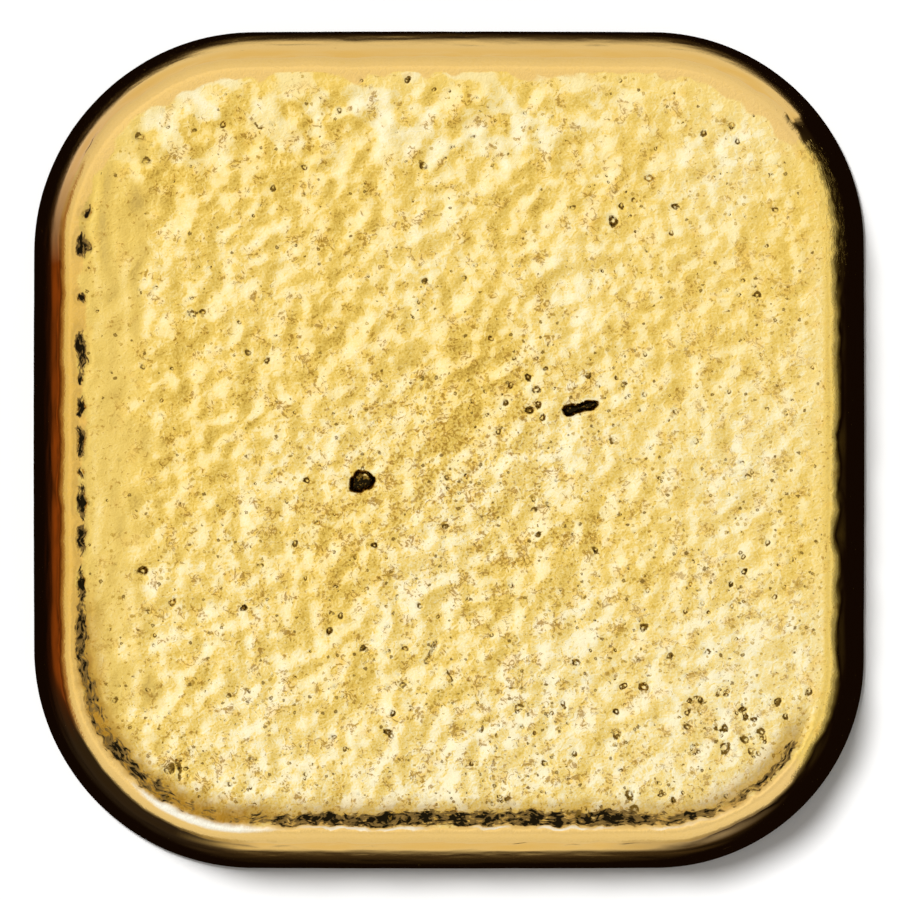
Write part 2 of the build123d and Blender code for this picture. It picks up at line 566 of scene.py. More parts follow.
def face_tone(points, broad, bed):
    """How pale the face is, its painted light and shade, and how much darker it is along the left, each up to
    about 1.
    """
    x, y = points[:, 0], points[:, 1]
    mottle = noise(points, MOTTLE) * liveliness(points)
    streaks = noise(points, LEFT_STREAKS)
    left = smooth(*LEFT_STRIP, x + noise(points, LEFT_EDGE))
    puddles = smooth(*PUDDLE_START, y - PUDDLE_SLANT * np.minimum(x - PUDDLE_SLANT_PLACE, 0))
    puddles *= (1 - 0.4 * left) * smooth(*PUDDLE_EDGE, noise(points, PUDDLES)) * smooth(*PUDDLE_STOP, x)
    # Painted light and shade: paler where the relief leans towards the light, deeper where it leans away
    lit = facing(points)
    pale = 0.324 + 0.39 * lit + 0.04 * mottle + 0.05 * broad + 0.01 * (x - y)
    pale += 0.2 * puddles - left * (0.13 - 0.09 * streaks) - 0.25 * np.minimum(bed, 1)
    for axis, span, gain in STRIPS:
        pale += gain * smooth(*span, points[:, axis])
    # The painted light also takes in random mottle and the pale puddles at the back, and is weaker along the
    # left strip
    lit = lit + 0.12 * mottle + 0.42 * puddles - 0.35 * left
    return pale, lit, left * (0.75 - 0.25 * streaks)


def face_relief(points, depth_inside):
    """Height of the face, and what colours it by name, each up to about 1."""
    broad = noise(points, BROAD)
    pits, pit_stain_and_shade = pit_shape(points)
    holes, hole_stain_and_shade = hole_shape(points)
    groove, bed, glaze = groove_shape(points, depth_inside)
    pale, lit, dull = face_tone(points, broad, bed)
    sunk = np.maximum(np.maximum(pits, holes), groove)
    return (hills(points) + HILL_RAISE) * liveliness(points) - sunk, {
        "pale": pale,
        "lit": lit,
        "stain": np.maximum(pit_stain_and_shade, hole_stain_and_shade),
        "bed": bed,
        "glaze": glaze,
        "sandy": smooth(*SANDY_EDGE, oval(points, SANDY_PLACE, SANDY_REACH) + 0.15 * broad),
        "dull": dull,
    }


# The mesh

# How far the face lies below the solid's top, so that its hills stay inside it, its further drop along the
# left, and how fast the drop dies away down the walls
FACE_SINK = 0.05
LEFT_DROP = 0.04
LEFT_DROP_SPAN = (-6.9, -8.6)
DROP_POWER = 4


def settle(solid):
    """Lowers the top of the casting a little, and more along the left, where the face falls to the rim."""
    drop = FACE_SINK + LEFT_DROP * smooth(*LEFT_DROP_SPAN, solid[:, 0])
    lowered = solid.copy()
    lowered[:, 2] -= drop * np.clip(solid[:, 2] / bar_height, 0, 1) ** DROP_POWER
    return lowered


def rounding_row(centre_inset, centre_height, radius, tilt, step):
    """The row of the section on a rounding where its normal has this tilt."""
    return centre_inset - radius * math.cos(tilt), centre_height + radius * math.sin(tilt), tilt, step


def section_rows():
    """Rows of the section from the face's edge to the foot: inset, height, normal's tilt and spacing."""
    rows = []
    for tilt in np.radians(np.linspace(90, draft_degrees, RIM_ROWS)):
        rows.append(rounding_row(face_edge, bar_height - rim_radius, rim_radius, tilt, RIM_STEP))
    top_inset, top_height = rows[-1][:2]
    foot_inset, foot_height = rounding_row(foot_centre, foot_radius, foot_radius, draft, WALL_STEP)[:2]
    for share in np.linspace(0, 1, WALL_ROWS)[1:-1]:
        inset = top_inset + share * (foot_inset - top_inset)
        rows.append((inset, top_height + share * (foot_height - top_height), draft, WALL_STEP))
    for tilt in np.radians(np.linspace(draft_degrees, -90, FOOT_ROWS)):
        rows.append(rounding_row(foot_centre, foot_radius, foot_radius, tilt, WALL_STEP))
    return rows


# The lattice's jitter and margin as shares of the steps, the rings of points round a pit as shares of its
# radius and numbers of points, the room round it without lattice, and the rings' margin in millimetres
JITTER = 0.15
LATTICE_MARGIN = 0.6
PIT_RINGS = ((0.42, 5), (0.78, 8), (1.12, 10))
PIT_ROOM = 1.35
RING_MARGIN = 0.05


def lattice_points():
    """A jittered lattice of points over the face."""
    half_x, half_y = bar_width / 2, bar_depth / 2
    rows = np.arange(-half_y, half_y, FACE_STEP * math.sqrt(3) / 2)
    grid_x, grid_y = np.meshgrid(np.arange(-half_x, half_x, FACE_STEP), rows)
    grid_x = grid_x + FACE_STEP / 2 * (np.arange(len(rows)) % 2)[:, None]
    lattice = np.stack((grid_x.ravel(), grid_y.ravel()), axis=1)
    lattice += rng.uniform(-JITTER, JITTER, lattice.shape) * FACE_STEP
    return lattice[inside(lattice) > LATTICE_MARGIN * RIM_STEP]


def face_points():
    """Points spread over the face: the lattice, with rings of points round each pit."""
    lattice = lattice_points()
    free = np.ones(len(lattice), bool)
    rings = []
    for middle, radius in zip(pit_places, pit_radii):
        near = np.flatnonzero(np.abs(lattice - middle).max(axis=1) < PIT_ROOM * radius)
        free[near[np.linalg.norm(lattice[near] - middle, axis=1) < PIT_ROOM * radius]] = False
        rings.append(middle[None])
        for share, count in PIT_RINGS:
            angles = TAU * (np.arange(count) / count + share)
            rings.append(middle + share * radius * np.stack((np.cos(angles), np.sin(angles)), axis=1))
    rings = np.concatenate(rings)
    return np.concatenate((lattice[free], rings[inside(rings) > RING_MARGIN]))


# How far below the top the rim's lumps begin and are full, how far they lie back, where they grow at the
# right as a share of half the width, and where the side's relief dies out above the foot
LUMPS_BEGIN = 1.2
LUMPS_FULL = 0.3
LUMPS_BACK = 0.04
RAGGED_RIGHT = (0.6, 0.9)
FOOT_SMOOTH = (0.1, 0.5)


def side_relief(solid):
    """How far the rim and the walls stand out, from the uneven skin of the mould."""
    around = np.arctan2(solid[:, 1], solid[:, 0]) * bar_width / 2
    flat = np.stack((around, solid[:, 2]), axis=1)
    rim = smooth(bar_height - LUMPS_BEGIN, bar_height - LUMPS_FULL, solid[:, 2])
    ragged = 0.8 + 1.2 * smooth(*RAGGED_RIGHT, solid[:, 0] / bar_width * 2)
    lumps = noise(flat, RIM_LUMPS) + noise(flat, RIM_BUMPS)
    proud = noise(flat, ROUND_RIPPLE) + noise(flat, LEVEL_RIPPLE) + rim * ragged * lumps - LUMPS_BACK * rim
    return np.minimum(proud, 0) * smooth(*FOOT_SMOOTH, solid[:, 2])


# The shares of the half sizes over which the rim's colour and painted light change, and where its right side
# is bare
RIM_SHARES = (0.3, 0.8)
BARE_START = (313, 322)
BARE_END = (45, 38)
# Stretches of the painted broad highlight on the rim's inner edge and of the painted thin bright line along
# the groove, how far the highlight lies outside the groove's line, and how many times streaks are drawn out
GLEAM_STRETCH = ((222, 233), (250, 239))
GLEAM_OUTSIDE = 0.21
LINE_STRETCH = ((243, 255), (312, 292))
STREAK_STRETCH = 2.5


def painted_rim_light(points):
    """How pale the rim is at each point, from 0 to 1: painted light, paler at the front and back and a little
    at the right.
    """
    right, back = points[:, 0] / bar_width * 2, points[:, 1] / bar_depth * 2
    ends = 0.65 * smooth(*RIM_SHARES, -back) + 0.6 * smooth(*RIM_SHARES, back)
    return np.clip(0.1 + ends + 0.15 * smooth(*RIM_SHARES, right), 0, 1)


def bare_side(points):
    """High along the right, where the rim has the face's own colour, and 0 elsewhere."""
    bearing = bearings(points)
    return 0.85 * np.maximum(smooth(*BARE_END, bearing), smooth(*BARE_START, bearing))


def gleam(points, depth_inside):
    """The painted broad highlight on the rim's inner edge at the front left."""
    broad = stretch(bearings(points), *GLEAM_STRETCH)
    gap = np.abs(depth_inside - groove_line + GLEAM_OUTSIDE)
    return 1.1 * broad * smooth(0.04 + 0.15 * broad, 0.02, gap)


def along(points):
    """Millimetres round the bar, drawn together so that noise over them comes out as streaks."""
    return np.radians(bearings(points)) * bar_width / 2 / STREAK_STRETCH


def disc_points():
    """Points spread over the foot, inside its rounded edge."""
    rows = np.arange(-bar_depth / 2, bar_depth / 2, FOOT_STEP)
    grid_x, grid_y = np.meshgrid(np.arange(-bar_width / 2, bar_width / 2, FOOT_STEP), rows)
    disc = np.stack((grid_x.ravel(), grid_y.ravel()), axis=1) + FOOT_STEP / 3
    return disc[inside(disc) > foot_centre - face_edge + FOOT_STEP / 2]


def triangulate(points):
    """The Delaunay triangles of flat points, as rows of their indices."""
    _, _, triangles, found, _, _ = delaunay_2d_cdt([tuple(point) for point in points], [], [], 0, SAME_POINT)
    return np.array([ids[0] for ids in found])[np.array(triangles)]


# What each point of the mesh carries for its colour, with the value where nothing else is worked out
PLAIN_VALUES = dict.fromkeys((
    "stain", "bed", "glaze", "sandy", "dull", "crowd", "lit", "gleam", "line", "offset", "along", "scuff",
), 0.0) | {"pale": 0.42, "skin": 1.0, "wall": 1.0, "rim": 0.3, "lively": 0.4}
# How far the rim's skin moves in along the back, and how softly it ends either side of the groove's line
SKIN_BACK = 0.1
SKIN_END = (0.15, -0.15)
# The sines of the tilt between which the rim turns into the wall, and the scuffed stretch and heights
WALL_TILT = (0.8, 0.3)
SCUFF_STRETCH = ((18, 28), (43, 39))
SCUFF_HEIGHT = (2.4, 3.8)


def side_values(points, depth_inside):
    """What the rim and the groove beside it carry, on the face and on the rows below it."""
    return {
        "rim": painted_rim_light(points),
        "gleam": gleam(points, depth_inside),
        "line": stretch(bearings(points), *LINE_STRETCH),
        "offset": groove_offset(points[:, :2], depth_inside),
        "along": along(points),
    }


def face_layer():
    """The face's points, flat and on the casting, and what they carry."""
    face = face_points()
    depth_inside = inside(face)
    height, colouring = face_relief(face, depth_inside)
    border = depth_inside - groove_line + noise(face, SKIN_EDGE)
    border += SKIN_BACK * smooth(*RIM_SHARES, face[:, 1] / bar_depth * 2)
    solid = np.concatenate((face, (bar_height + height)[:, None]), axis=1)
    return face, solid, PLAIN_VALUES | colouring | side_values(face, depth_inside) | {
        "crowd": crowding(face),
        "skin": smooth(*SKIN_END, border) * (1 - bare_side(face)),
        "wall": 0.0,
        "lively": liveliness(face),
    }


def ring_layer(row, spread):
    """A row of the section all round the bar: its points, flat and on the casting, and what they carry.

    Spread is how far the row lies from the face's edge, measured over the section."""
    inset, height, tilt, step = row
    points, normals = outline(step)
    flat = points + (spread - face_edge) * normals
    ring = np.concatenate((points - inset * normals, np.full((len(points), 1), height)), axis=1)
    outward = np.concatenate((normals, np.zeros((len(points), 1))), axis=1)
    solid = ring + (side_relief(ring) * math.cos(tilt))[:, None] * outward
    return flat, solid, PLAIN_VALUES | side_values(ring, np.full(len(ring), -spread)) | {
        "wall": smooth(*WALL_TILT, math.sin(tilt)),
        "skin": 1 - bare_side(ring),
        "scuff": stretch(bearings(ring), *SCUFF_STRETCH) * smooth(*SCUFF_HEIGHT, ring[:, 2]),
    }


def build_ingot():
    """The bar's skin: the face, rim, wall and foot as one closed mesh, with the values that colour it."""
    layers = [face_layer()]
    rows = section_rows()
    spread = 0
    for before, row in zip(rows[:1] + rows, rows):
        spread += math.hypot(row[0] - before[0], row[1] - before[1])
        layers.append(ring_layer(row, spread))
    flat = np.concatenate([layer[0] for layer in layers])
    ring_start = len(flat) - len(layers[-1][0])
    disc = disc_points()
    layers.append((disc, np.concatenate((disc, np.zeros((len(disc), 1))), axis=1), PLAIN_VALUES))
    solid = settle(np.concatenate([layer[1] for layer in layers]))
    solid[:, 2] = np.minimum(solid[:, 2], bar_height)
    foot = triangulate(np.concatenate((solid[ring_start:len(flat), :2], disc)))[:, ::-1] + ring_start
    faces = np.concatenate((triangulate(flat), foot))

    mesh = bpy.data.meshes.new("ingot_skin")
    mesh.from_pydata((solid * MM).tolist(), [], faces.tolist())
    mesh.shade_smooth()
    for name in PLAIN_VALUES:
        parts = [np.broadcast_to(values[name], len(points)) for points, _, values in layers]
        attribute = mesh.attributes.new(name, "FLOAT", "POINT")
        attribute.data.foreach_set("value", np.concatenate(parts).astype(np.float32))
    piece = bpy.data.objects.new("ingot_skin", mesh)
    bpy.context.scene.collection.objects.link(piece)
    print("ingot skin:", len(solid), "points,", len(faces), "triangles")
    return piece


# Nodes

def feed(tree, socket, value):
    """Gives an input a constant or another node's output."""
    if isinstance(value, Number):
        value = value.socket
    if isinstance(value, bpy.types.NodeSocket):
        tree.links.new(value, socket)
    else:
        socket.default_value = value


def make(tree, kind, inlets, **settings):
    """The outlets of a new node, which has these settings and whose inlets are fed by name or number."""
    made = tree.nodes.new(kind)
    for name, value in settings.items():
        setattr(made, name, value)
    for inlet, value in inlets.items():
        feed(tree, made.inputs[inlet], value)
    return made.outputs


def reckon(tree, operation, first, second):
    """Two numbers put together by a sum, a product or the like."""
    return Number(tree, make(tree, "ShaderNodeMath", {0: first, 1: second}, operation=operation)["Value"])


class Number:
    """A node's outlet that is reckoned with like a number. Each step makes another node in its tree."""

    def __init__(self, tree, socket):
        self.tree = tree
        self.socket = socket

    def __add__(self, other):
        return reckon(self.tree, "ADD", self, other)

    def __sub__(self, other):
        return reckon(self.tree, "SUBTRACT", self, other)

    def __rsub__(self, other):
        return reckon(self.tree, "SUBTRACT", other, self)

    def __mul__(self, other):
        return reckon(self.tree, "MULTIPLY", self, other)

    def __abs__(self):
        return reckon(self.tree, "ABSOLUTE", self, 0.0)

    def band(self, low_end, high_end):
        """0 at low_end, 1 at high_end, with a smooth step between them."""
        inlets = {"Value": self, "From Min": low_end, "From Max": high_end}
        made = make(self.tree, "ShaderNodeMapRange", inlets, interpolation_type="SMOOTHSTEP")
        return Number(self.tree, made["Result"])

    def blend(self, first, second):
        """The colour that lies this share of the way from one to another."""
        made = self.tree.nodes.new("ShaderNodeMix")
        made.data_type = "RGBA"
        sockets = [socket for socket in made.inputs if socket.enabled]
        for socket, value in zip(sockets, (self, first, second)):
            feed(self.tree, socket, value)
        return next(socket for socket in made.outputs if socket.enabled)

    def ramp(self, stops):
        """The colour that this number picks from stops at rising places."""
        made = self.tree.nodes.new("ShaderNodeValToRGB")
        elements = made.color_ramp.elements
        for index, (spot, colour) in enumerate(stops):
            element = elements[index] if index < len(elements) else elements.new(spot)
            element.position = spot
            element.color = colour
        feed(self.tree, made.inputs["Fac"], self)
        return made.outputs["Color"]


def carried(tree, name):
    """The number that the mesh carries under a name."""
    return Number(tree, make(tree, "ShaderNodeAttribute", {}, attribute_name=name)["Fac"])


def shifted(tree, where, shift):
    """A place moved by a vector."""
    return make(tree, "ShaderNodeVectorMath", {0: where, 1: shift}, operation="ADD")["Vector"]


def grain(tree, where, scale, detail, distortion):
    """Noise with about so many lumps to a millimetre, centred on zero and about one deep."""
    inlets = {"Vector": where, "Scale": scale, "Detail": detail, "Distortion": distortion}
    return Number(tree, make(tree, "ShaderNodeTexNoise", inlets)["Fac"]) - 0.5


def lit_grain(tree, where, kind, reach):
    """Painted light and shade of noise taken as relief: above zero where it leans towards the light, below
    where away.

    Reach is half the distance in millimetres over which a slope is measured."""
    east, north = reach * math.cos(LIGHT_BEARING), reach * math.sin(LIGHT_BEARING)
    near = grain(tree, shifted(tree, where, (-east, -north, 0)), *kind)
    return near - grain(tree, shifted(tree, where, (east, north, 0)), *kind)


def dots(tree, where, scale, radius, crowd):
    """Round dots, about so many to a millimetre, some with a bright middle.

    Radius is in cells, and crowd is the share of cells that have a dot."""
    made = make(tree, "ShaderNodeTexVoronoi", {"Vector": where, "Scale": scale}, voronoi_dimensions="2D")
    chances = make(tree, "ShaderNodeSeparateColor", {"Color": made["Color"]})
    presence, size, eye = [Number(tree, chances[name]) for name in ("Red", "Green", "Blue")]
    distance = Number(tree, made["Distance"])
    size = (size + 0.5) * radius
    dot = distance.band(size, size * 0.6) - distance.band(size * 0.5, 0.0) * eye
    return dot * reckon(tree, "LESS_THAN", presence, crowd)


def new_material(name):
    """A new node material, its tree and its shader."""
    material = bpy.data.materials.new(name)
    material.use_nodes = True
    return material, material.node_tree, material.node_tree.nodes["Principled BSDF"]


# Materials

# Gold from deep to pale by the face's tone; where the tone follows the painted light, the ends are painted
# shade and highlight
GOLD_STOPS = (
    (0.0, (0.55, 0.33, 0.05, 1)),
    (0.2, (0.80, 0.525, 0.09, 1)),
    (0.4, (0.92, 0.645, 0.15, 1)),
    (0.6, (0.97, 0.735, 0.26, 1)),
    (0.8, (0.98, 0.815, 0.40, 1)),
    (1.0, (0.98, 0.88, 0.57, 1)),
)
# The rim's skin from deep to pale, picked by its painted light by side
DEEP_SKIN = (0.76, 0.46, 0.09, 1)
PALE_SKIN = (0.92, 0.63, 0.23, 1)
# The cream of the painted highlights on the rim's inner edge
PAINTED_HIGHLIGHT_CREAM = (1.0, 0.95, 0.78, 1)
WARM_GOLD = (0.93, 0.56, 0.1, 1)
LEFT_DARK_GOLD = (0.72, 0.52, 0.15, 1)
OLIVE = (0.5, 0.3, 0.035, 1)
# Rust brown, for the sand and for the band of rust and painted shade round the groove
RUST_AND_SHADE_BROWN = (0.42, 0.21, 0.02, 1)
SCRIBBLE = (0.32, 0.155, 0.008, 1)
# Brown of the stain and painted shade in pits and holes
HOLE_BROWN = (0.2, 0.11, 0.015, 1)
BED_OLIVE = (0.21, 0.125, 0.033, 1)
# Near black: the groove's soot, and the stain and painted shade deep in the pits
BLACK_STAIN_AND_SHADE = (0.012, 0.008, 0.003, 1)
# The colour of gold seen at a low angle, as a share of white
GRAZING_GOLD = (0.97, 0.88, 0.75, 1)

# Noise in the gold, over the bar and along the groove: lumps to a millimetre, detail and distortion
FACE_GRAINS = {
    "fine": (7.0, 2.0, 1.6),
    "dust": (22.0, 1.0, 0.0),
    "patches": (2.5, 2.0, 0.0),
    "blotches": (5.0, 2.0, 0.0),
    "clusters": (1.1, 1.0, 0.0),
    "curls": (4.8, 2.0, 1.2),
    "sand": (12.0, 2.0, 0.0),
}
GROOVE_GRAINS = {
    "streaks": (14.0, 2.0, 0.6),
    "breaks": (3.0, 2.0, 0.0),
    "flecks": (11.0, 2.0, 0.0),
}
# Noise taken as relief whose light and shade are painted into the colour, and the reach of its slopes
FLOW_SHADE_GRAIN = (2.6, 3.0, 1.0)
FLOW_SHADE_REACH = 0.05
STROKE_SHADE_GRAIN = (7.0, 2.0, 1.0)
STROKE_SHADE_REACH = 0.022
# Dots on the face: how many to a millimetre, their radius in cells, and how far noise bends them
HOLE_DOTS = (2.9, 0.11)
SPECK_DOTS = (4.6, 0.17)
DOT_WOBBLE = 0.09
# How far the painted thin bright line lies outside the groove's line
LINE_OUTSIDE = 0.17
# The heights of the gold's finest relief in millimetres
FINE_HEIGHT = 0.007
DUST_HEIGHT = 0.002
SCUFF_DEPTH = 0.006


def shared_values(tree):
    """What the layers of the gold go by: carried numbers, noises, and what follows from both."""
    spot = make(tree, "ShaderNodeTexCoord", {})["Object"]
    where = make(tree, "ShaderNodeMapping", {"Vector": spot, "Scale": (1 / MM, 1 / MM, 1 / MM)})["Vector"]
    values = {name: carried(tree, name) for name in PLAIN_VALUES}
    course = make(tree, "ShaderNodeCombineXYZ", {"X": values["along"], "Y": values["offset"]})["Vector"]
    for name, kind in FACE_GRAINS.items():
        values[name] = grain(tree, where, *kind)
    for name, kind in GROOVE_GRAINS.items():
        values[name] = grain(tree, course, *kind)
    on = SimpleNamespace(tree=tree, where=where, **values)
    # Painted light and shade of fine relief that the bump lacks, which with the face's painted light make
    # crisp painted highlights
    on.flow = lit_grain(tree, where, FLOW_SHADE_GRAIN, FLOW_SHADE_REACH)
    on.strokes = lit_grain(tree, where, STROKE_SHADE_GRAIN, STROKE_SHADE_REACH)
    on.lit = (on.lit * 0.8 + on.flow * 0.7 + on.strokes * 0.5).band(0.34, 0.56)
    on.skin = (on.skin + on.fine * 0.5).band(0.3, 0.7)
    on.open_face = 1.0 - on.skin
    return on


def face_colour(on):
    """The open face: painted paler where it leans towards the light and deeper away from it, with warm
    patches and a darker left side.
    """
    # Dust, and the painted shade of the fine relief noises
    dust_and_relief_shade = on.flow * 0.3 + on.strokes * 0.6 + on.dust * 0.65
    dust_and_relief_shade = dust_and_relief_shade * (on.crowd * 0.45 + on.lively * 0.8) * (1.0 - on.lit * 0.5)
    # The tone takes in the painted light
    tone = on.pale + dust_and_relief_shade + on.lit * 0.17
    colour = (on.patches.band(0.02, 0.22) * 0.35).blend(tone.ramp(GOLD_STOPS), WARM_GOLD)
    return (on.dull * 0.5).blend(colour, LEFT_DARK_GOLD)


def rim_layers(on, colour):
    """The rim's own skin with its painted light by side, and the painted highlight and thin bright line along
    its inner edge.
    """
    # The rim's skin tone carries its painted light by side
    skin_tone = on.rim + on.fine * 0.5 + on.dust * 0.3
    colour = on.skin.blend(colour, skin_tone.blend(DEEP_SKIN, PALE_SKIN))
    # The painted broad highlight
    colour = (on.gleam + on.streaks * 0.5).band(0.1, 0.95).blend(colour, PAINTED_HIGHLIGHT_CREAM)
    # The painted thin bright line just outside the groove at the front
    bright = abs(on.offset + on.streaks * 0.06 + LINE_OUTSIDE).band(0.05, 0.01) * on.line
    return (bright * on.breaks.band(-0.14, 0.1) * 0.75).blend(colour, PAINTED_HIGHLIGHT_CREAM)


def speckle_layers(on, colour):
    """Rusty scribbles, sand, specks and small holes on the open face."""
    rusty = (on.patches + on.fine * 0.6 + on.crowd * 0.04).band(0.08, 0.19)
    curls = abs(on.curls).band(0.075, 0.025) * rusty * on.lively * on.open_face
    colour = (curls * 0.72).blend(colour, SCRIBBLE)
    sand = on.sand + on.fine * 0.3 + on.flow * 0.25 + on.sandy * 0.09 + on.lit * -0.06
    sand = (sand + on.crowd * 0.045 + on.patches * 0.25).band(0.15, 0.27) * on.open_face
    colour = (sand * 0.65).blend(colour, RUST_AND_SHADE_BROWN)
    wobble = {"X": on.dust * DOT_WOBBLE, "Y": on.fine * DOT_WOBBLE}
    uneven = shifted(on.tree, on.where, make(on.tree, "ShaderNodeCombineXYZ", wobble)["Vector"])
    shown = on.crowd * on.open_face * on.clusters.band(-0.08, 0.14)
    colour = (dots(on.tree, uneven, *SPECK_DOTS, shown) * 0.75).blend(colour, OLIVE)
    # Pinholes drawn as dots with no hole under them: brown stain and painted shade, some with a bare middle
    return (dots(on.tree, uneven, *HOLE_DOTS, shown) * 0.9).blend(colour, HOLE_BROWN)


def groove_layers(on, colour):
    """The brown band of rust and painted shade round the groove's bed, the dirt in it and the soot on that.
    """
    sharp_edge = on.offset.band(-0.12, -0.16) * on.line
    dirt = on.bed + sharp_edge * -1.2 + on.flecks.band(0.1, 0.2) * -0.45
    bed = (dirt + on.streaks * 1.5 + on.blotches * 0.8).band(0.5, 0.76)
    soot = (dirt + on.streaks * 2.2 + on.blotches * 1.2).band(0.82, 1.1)
    colour = (on.glaze * 0.72 + on.fine * 0.4).blend(colour, RUST_AND_SHADE_BROWN)
    return soot.blend(bed.blend(colour, BED_OLIVE), BLACK_STAIN_AND_SHADE)


def pit_layers(on, colour):
    """The stain and painted shade of the pits, brown at its edge and black within."""
    stain = on.stain * (on.fine * 1.1 + on.dust * 0.9 + 1.0)
    return stain.band(0.7, 0.95).blend(stain.band(0.34, 0.6).blend(colour, HOLE_BROWN), BLACK_STAIN_AND_SHADE)


def gold_material():
    """Cast gold: the face's colour and layers over it, smooth on the walls and scuffed at the back right."""
    material, tree, shader = new_material("cast_gold")
    on = shared_values(tree)
    colour = face_colour(on)
    for layers in (rim_layers, speckle_layers, groove_layers, pit_layers):
        colour = layers(on, colour)
    scuffs = (on.scuff * 0.52 + on.blotches * 1.3 + on.streaks * 1.2).band(0.45, 0.75)
    relief = (on.fine * FINE_HEIGHT + on.dust * DUST_HEIGHT) * (1.0 - on.wall * 0.85) + scuffs * SCUFF_DEPTH
    bump = make(tree, "ShaderNodeBump", {"Strength": 1.0, "Distance": MM, "Height": relief})
    feed(tree, shader.inputs["Base Color"], colour)
    feed(tree, shader.inputs["Specular Tint"], GRAZING_GOLD)
    feed(tree, shader.inputs["Metallic"], 1.0)
    feed(tree, shader.inputs["Roughness"], on.wall * -0.09 + scuffs * 0.3 + 0.14)
    feed(tree, shader.inputs["Normal"], bump["Normal"])
    return material


# The stage

FLOOR_SIZE = 1.2
FLOOR_WHITE = (0.9, 0.9, 0.9, 1)
FLOOR_ROUGHNESS = 0.9
# The world as the camera sees it and as it lights the floor
SEEN_LEVEL = 0.93
FILL_LEVEL = 0.33
# The count of diffuse bounces that parts light seen at first hand, or in metal, from the floor's fill
FIRST_BOUNCE = 0.5
# The world as the metal mirrors it: overhead, away from the light and towards it, halfway up, and low
SHADED_SKY = (0.84, 0.84, 0.84, 1)
LIT_SKY = (1.13, 1.13, 1.13, 1)
MIDDLE_SKY = (0.95, 0.95, 0.95, 1)
HORIZON = (0.88, 0.88, 0.88, 1)
LEFT_HORIZON = (0.42, 0.26, 0.14, 1)
RIGHT_HORIZON = (0.31, 0.31, 0.3, 1)
# How far west and east the left and right horizons begin and are full, and how high they reach
LEFT_SPAN = (-0.84, -0.96)
RIGHT_SPAN = (0.72, 0.86)
LEFT_RISE = 0.75
RIGHT_RISE = 0.9
# The heights over which the sky's middle runs into the part overhead, and the horizon into the middle
OVERHEAD_SPAN = (0.76, 0.92)
HORIZON_SPAN = (0.0, 0.6)
# The sun: its strength, its tilt about X and Y and its width in degrees
SUN_LEVEL = 3.0
SUN_TILT = (-14.3, -11.5)
SUN_ANGLE = 10
# The camera's distance from the floor and nearest sight, in metres
CAMERA_DISTANCE = 0.3
CAMERA_CLIP = 0.01

# Cards on the floor round the foot, which the walls mirror. Each row has a bearing round the bar in degrees,
# how far the black card next to the foot reaches, where a dim glow follows it, that glow, where the full glow
# follows, and that glow. From there the cards blend into the horizon.
CARD_BLACK = (0.006, 0.0028, 0.0012)
DARK = (0.008, 0.004, 0.0015)
DUSK = (0.05, 0.04, 0.022)
DIM = (0.06, 0.04, 0.016)
BROWN = (0.035, 0.01, 0.002)
RED_BROWN = (0.13, 0.036, 0.006)
GREY = (0.03, 0.022, 0.014)
TAN = (0.85, 0.75, 0.42)
CARDS = (
    (0, 0.55, 0.75, DARK, 4.0, DUSK),
    (42.5, 0.55, 0.75, DARK, 4.0, DUSK),
    (43.5, 0.35, 0.45, DIM, 0.55, TAN),
    (55, 0.22, 0.32, DIM, 0.45, TAN),
    (65, 0.14, 0.24, DIM, 0.4, TAN),
    (90, 0.1, 0.2, DIM, 0.36, TAN),
    (115, 0.14, 0.24, DIM, 0.36, TAN),
    (128, 0.3, 0.4, DIM, 0.48, TAN),
    (143, 0.35, 0.46, DIM, 0.58, (0.75, 0.62, 0.45)),
    (156, 0.35, 0.52, BROWN, 0.75, RED_BROWN),
    (208, 0.35, 0.52, BROWN, 0.75, RED_BROWN),
    (218, 0.3, 0.5, GREY, 2.4, GREY),
    (235, 0.3, 0.5, GREY, 2.0, GREY),
    (246, 0.2, 0.45, DIM, 0.8, TAN),
    (270, 0.15, 0.4, DIM, 0.72, TAN),
    (290, 0.2, 0.42, DIM, 0.76, TAN),
    (305, 0.35, 0.6, DIM, 1.5, (0.3, 0.28, 0.25)),
    (315, 0.5, 0.75, DARK, 3.0, DUSK),
    (325, 0.55, 0.75, DARK, 4.0, DUSK),
    (360, 0.55, 0.75, DARK, 4.0, DUSK),
)
# The black card begins under the foot. The glow is warm as far as the walls mirror it, where dim red glows
# gain strength, and beyond that pale ones lose their colour.
CARD_START = -1.0
CARD_WARM = 1.5
CARD_NEAR = 3.0
CARD_MIDDLE = 30.0
CARD_FAR = 590.0
CARD_HEIGHT = 0.01
WARM_PAST_FULL = 0.1
NEAR_PAST_FULL = 0.2
RED_GAIN = 1.2
RED_RISE = (0.06, 0.1)
RED_FALL = (0.4, 0.1)
PALE_GLOW = (0.4, 0.8)


def sheet(name, points, faces, material):
    """A stage mesh."""
    mesh = bpy.data.meshes.new(name)
    mesh.from_pydata([tuple(point) for point in points], [], faces)
    mesh.materials.append(material)
    made = bpy.data.objects.new(name, mesh)
    bpy.context.scene.collection.objects.link(made)
    return made


def build_floor():
    """The white floor."""
    material, tree, shader = new_material("white_floor")
    feed(tree, shader.inputs["Base Color"], FLOOR_WHITE)
    feed(tree, shader.inputs["Roughness"], FLOOR_ROUGHNESS)
    half = FLOOR_SIZE / 2
    corners = ((-half, -half, 0), (half, -half, 0), (half, half, 0), (-half, half, 0))
    sheet("floor", corners, [(0, 1, 2, 3)], material)


